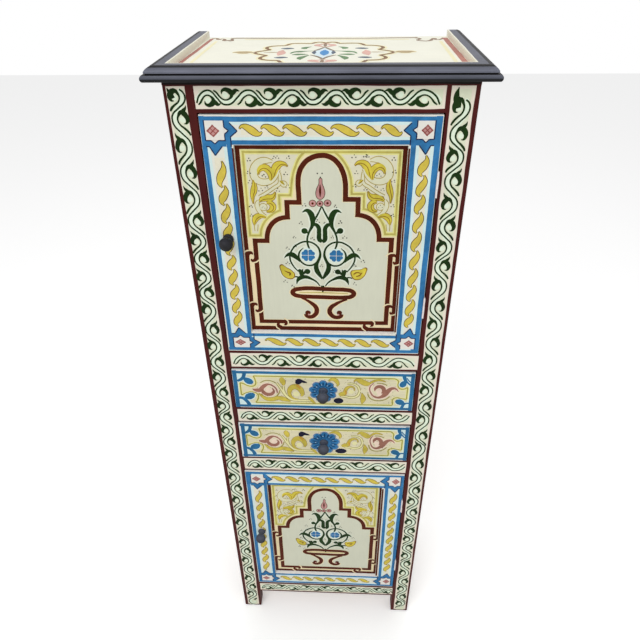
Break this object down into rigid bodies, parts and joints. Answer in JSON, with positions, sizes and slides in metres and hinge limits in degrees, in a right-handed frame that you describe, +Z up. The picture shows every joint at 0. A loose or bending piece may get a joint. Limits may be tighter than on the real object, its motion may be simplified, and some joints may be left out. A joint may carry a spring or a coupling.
{
  "type": "painted storage cabinet",
  "caption": "Tall narrow painted cabinet with a hinged door above and below and drawers between, on short legs.",
  "frame": {"origin": "on the floor, under the middle of the whole cabinet's box", "axes": "+Z up; the doors and drawers face -Y; +X is to the right of someone facing them"},
  "size_m": [0.4408, 0.2976, 1.2515],
  "materials": {
    "painted_wood": "hand painted, satin",
    "bare_wood": "sawn and planed",
    "plywood": "sanded",
    "charcoal_painted_wood": "satin paint, worn",
    "black_painted_wood": "gloss paint",
    "steel": "zinc plated"
  },
  "bodies": {
    "carcass": {"front_post_left": "painted_wood", "rear_post_left": "painted_wood", "side_panel_left": "painted_wood", "shelf_cleat_left": "bare_wood", "moulding_left": "charcoal_painted_wood", "upper_runner_left": "bare_wood", "lower_runner_left": "bare_wood", "front_post_right": "painted_wood", "rear_post_right": "painted_wood", "side_panel_right": "painted_wood", "shelf_cleat_right": "bare_wood", "moulding_right": "charcoal_painted_wood", "upper_runner_right": "bare_wood", "lower_runner_right": "bare_wood", "bottom_front_rail": "painted_wood", "drawer_door_rail": "painted_wood", "drawer_divider_rail": "painted_wood", "door_drawer_rail": "painted_wood", "top_front_rail": "painted_wood", "bottom_rear_rail": "bare_wood", "top_rear_rail": "bare_wood", "back_panel": "plywood", "upper_floor": "bare_wood", "lower_floor": "bare_wood", "shelf": "bare_wood", "top_board": "painted_wood", "moulding_front": "charcoal_painted_wood", "door_stops": "bare_wood", "panel_pins": "steel", "hinge_frame_leaves": "steel", "frame_hinge_screws": "steel", "hinge_pins": "steel"},
    "upper_door": {"upper_door_lock_stile": "painted_wood", "upper_door_hinge_stile": "painted_wood", "upper_door_top_rail": "painted_wood", "upper_door_bottom_rail": "painted_wood", "upper_door_panel": "painted_wood", "upper_door_knob": "black_painted_wood", "upper_door_hinge_leaves": "steel", "upper_door_hinge_screws": "steel"},
    "upper_drawer": {"upper_drawer_front": "painted_wood", "upper_drawer_left_side": "bare_wood", "upper_drawer_right_side": "bare_wood", "upper_drawer_back": "bare_wood", "upper_drawer_bottom": "plywood", "upper_drawer_knob": "black_painted_wood"},
    "lower_door": {"lower_door_lock_stile": "painted_wood", "lower_door_hinge_stile": "painted_wood", "lower_door_top_rail": "painted_wood", "lower_door_bottom_rail": "painted_wood", "lower_door_panel": "painted_wood", "lower_door_knob": "black_painted_wood", "lower_door_hinge_leaves": "steel", "lower_door_hinge_screws": "steel"},
    "lower_drawer": {"lower_drawer_front": "painted_wood", "lower_drawer_left_side": "bare_wood", "lower_drawer_right_side": "bare_wood", "lower_drawer_back": "bare_wood", "lower_drawer_bottom": "plywood", "lower_drawer_knob": "black_painted_wood"}
  },
  "joints": [
    {"name": "upper_door_hinge", "type": "hinge", "parent": "carcass", "child": "upper_door", "pos_m": [0.159, -0.12275, 0.9985], "axis": [0, 0, 1], "range_deg": [0, 175]},
    {"name": "lower_door_hinge", "type": "hinge", "parent": "carcass", "child": "lower_door", "pos_m": [0.159, -0.12275, 0.306], "axis": [0, 0, 1], "range_deg": [0, 175]},
    {"name": "upper_drawer_slide", "type": "slide", "parent": "carcass", "child": "upper_drawer", "axis": [0, -1, 0], "range_m": [0, 0.18]},
    {"name": "lower_drawer_slide", "type": "slide", "parent": "carcass", "child": "lower_drawer", "axis": [0, -1, 0], "range_m": [0, 0.18]}
  ]
}
